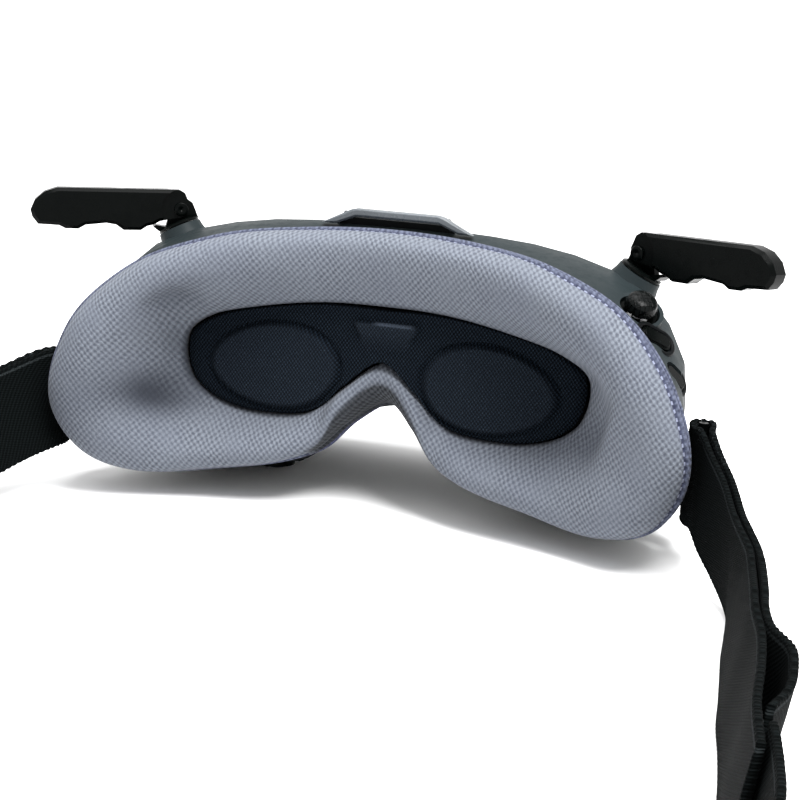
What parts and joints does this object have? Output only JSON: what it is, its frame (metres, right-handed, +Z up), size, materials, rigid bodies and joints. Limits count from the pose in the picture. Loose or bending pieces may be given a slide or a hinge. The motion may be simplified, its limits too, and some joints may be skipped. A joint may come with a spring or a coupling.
{
  "type": "fpv goggles",
  "caption": "Head-worn video goggles with a padded face cushion, knit lens cover, fold-out side antennas, control stick, side buttons and a webbing head strap",
  "frame": {"origin": "on the surface that the goggles stand on, under the middle of their bounding box", "axes": "+Z up, +Y ahead of the wearer and away from the face, +X to the wearer's right"},
  "size_m": [0.2254, 0.3134, 0.0807],
  "materials": {
    "shell": "satin grey-green moulded plastic",
    "visor": "gloss black",
    "inner_plastic": "dull black moulding",
    "cushion": "woven mesh over foam, pale grey with a blue tint",
    "knit": "very dark blue knit on a stiff plate",
    "black_plastic": "satin black",
    "stick_rubber": "textured black rubber",
    "steel": "bright steel",
    "cooler": "bare aluminium",
    "board": "green circuit board",
    "lens_glass": "polished clear lens",
    "webbing": "black woven webbing"
  },
  "bodies": {
    "housing": {"front_shell": "shell", "front_visor": "visor", "rear_frame": "inner_plastic", "face_foam": "cushion", "wear_sensor": "visor", "top_guard": "shell", "vent_grille": "inner_plastic", "frame_screw_1_right": "steel", "frame_screw_1_left": "steel", "frame_screw_2_right": "steel", "frame_screw_2_left": "steel", "joystick_socket": "black_plastic", "guide_rod": "steel", "mainboard": "board", "heatsink": "cooler", "fan_frame": "inner_plastic", "power_port": "steel", "strap_anchor_right": "black_plastic", "strap_anchor_left": "black_plastic", "side_strap_right": "webbing", "side_strap_left": "webbing", "back_strap": "webbing"},
    "cover": {"lens_cover": "knit"},
    "knuckle_right": {"antenna_knuckle_right": "black_plastic", "hinge_pin_right": "steel"},
    "knuckle_left": {"antenna_knuckle_left": "black_plastic", "hinge_pin_left": "steel"},
    "blade_right": {"antenna_blade_right": "black_plastic", "antenna_board_right": "board"},
    "blade_left": {"antenna_blade_left": "black_plastic", "antenna_board_left": "board"},
    "carriage_right": {"lens_carriage_right": "inner_plastic", "display_module_right": "visor"},
    "carriage_left": {"lens_carriage_left": "inner_plastic", "display_module_left": "visor"},
    "knob_right": {"focus_knob_right": "black_plastic"},
    "knob_left": {"focus_knob_left": "black_plastic"},
    "barrel_right": {"lens_barrel_right": "inner_plastic", "eye_lens_right": "lens_glass"},
    "barrel_left": {"lens_barrel_left": "inner_plastic", "eye_lens_left": "lens_glass"},
    "fan": {"fan_rotor": "black_plastic"},
    "gimbal": {"joystick_gimbal": "steel"},
    "stem": {"joystick_stem": "steel"},
    "cap": {"joystick_cap": "stick_rubber"},
    "back_key": {"back_button": "black_plastic"},
    "shortcut_key": {"shortcut_button": "black_plastic"},
    "adjuster": {"strap_adjuster": "black_plastic"}
  },
  "joints": [
    {"name": "cover_slide", "type": "slide", "parent": "housing", "child": "cover", "axis": [0, -1, 0], "range_m": [0, 0.09]},
    {"name": "antenna_swivel_right", "type": "hinge", "parent": "housing", "child": "knuckle_right", "pos_m": [0.06335, 0.08435, 0.06975], "axis": [0.4699, 0, 0.8827], "range_deg": [-30, 100]},
    {"name": "antenna_swivel_left", "type": "hinge", "parent": "housing", "child": "knuckle_left", "pos_m": [-0.06335, 0.08435, 0.06975], "axis": [0.4699, 0, -0.8827], "range_deg": [-30, 100]},
    {"name": "antenna_fold_right", "type": "hinge", "parent": "knuckle_right", "child": "blade_right", "pos_m": [0.0635, 0.0847, 0.0749], "axis": [-0.4907, -0.8713, 0], "range_deg": [-2, 85]},
    {"name": "antenna_fold_left", "type": "hinge", "parent": "knuckle_left", "child": "blade_left", "pos_m": [-0.0635, 0.0847, 0.0749], "axis": [-0.4907, 0.8713, 0], "range_deg": [-2, 85]},
    {"name": "ipd_slide_right", "type": "slide", "parent": "housing", "child": "carriage_right", "axis": [1, 0, 0], "range_m": [-0.002, 0.006]},
    {"name": "ipd_slide_left", "type": "slide", "parent": "housing", "child": "carriage_left", "axis": [-1, 0, 0], "range_m": [-0.002, 0.006]},
    {"name": "focus_knob_turn_right", "type": "hinge", "parent": "carriage_right", "child": "knob_right", "pos_m": [0.0422, 0.1112, 0.004], "axis": [0, 0, 1], "range_deg": [-140, 140]},
    {"name": "focus_knob_turn_left", "type": "hinge", "parent": "carriage_left", "child": "knob_left", "pos_m": [-0.0422, 0.1112, 0.004], "axis": [0, 0, 1], "range_deg": [-140, 140]},
    {"name": "focus_slide_right", "type": "slide", "parent": "carriage_right", "child": "barrel_right", "axis": [0, 1, 0], "range_m": [-0.00299, 0.00299]},
    {"name": "focus_slide_left", "type": "slide", "parent": "carriage_left", "child": "barrel_left", "axis": [0, 1, 0], "range_m": [-0.00299, 0.00299]},
    {"name": "fan_spin", "type": "hinge", "parent": "housing", "child": "fan", "pos_m": [0, 0.1396, 0.0465], "axis": [0, 1, 0], "continuous": true},
    {"name": "stick_tilt_across", "type": "hinge", "parent": "housing", "child": "gimbal", "pos_m": [0.06538, 0.06865, 0.06066], "axis": [0.9428, 0, -0.3334], "range_deg": [-7, 7], "stiffness_Nm_per_rad": 0.02},
    {"name": "stick_tilt_along", "type": "hinge", "parent": "gimbal", "child": "stem", "pos_m": [0.06538, 0.06865, 0.06066], "axis": [0.1662, 0.8669, 0.4699], "range_deg": [-7, 7], "stiffness_Nm_per_rad": 0.02},
    {"name": "stick_press", "type": "slide", "parent": "stem", "child": "cap", "axis": [-0.2891, 0.4984, -0.8173], "range_m": [0, 0.0005], "stiffness_N_per_m": 400},
    {"name": "back_button_press", "type": "slide", "parent": "housing", "child": "back_key", "axis": [-0.6612, 0.4208, -0.6211], "range_m": [0, 0.0006], "stiffness_N_per_m": 400},
    {"name": "shortcut_button_press", "type": "slide", "parent": "housing", "child": "shortcut_key", "axis": [-0.8645, 0.3016, -0.4021], "range_m": [0, 0.0006], "stiffness_N_per_m": 400},
    {"name": "adjuster_slide", "type": "slide", "parent": "housing", "child": "adjuster", "axis": [1, 0, 0], "range_m": [-0.012, 0.012]}
  ],
  "couplings": [
    {"joint": "focus_knob_turn_right", "follows": "focus_slide_right", "rad_per_m": 815},
    {"joint": "focus_knob_turn_left", "follows": "focus_slide_left", "rad_per_m": 815}
  ]
}
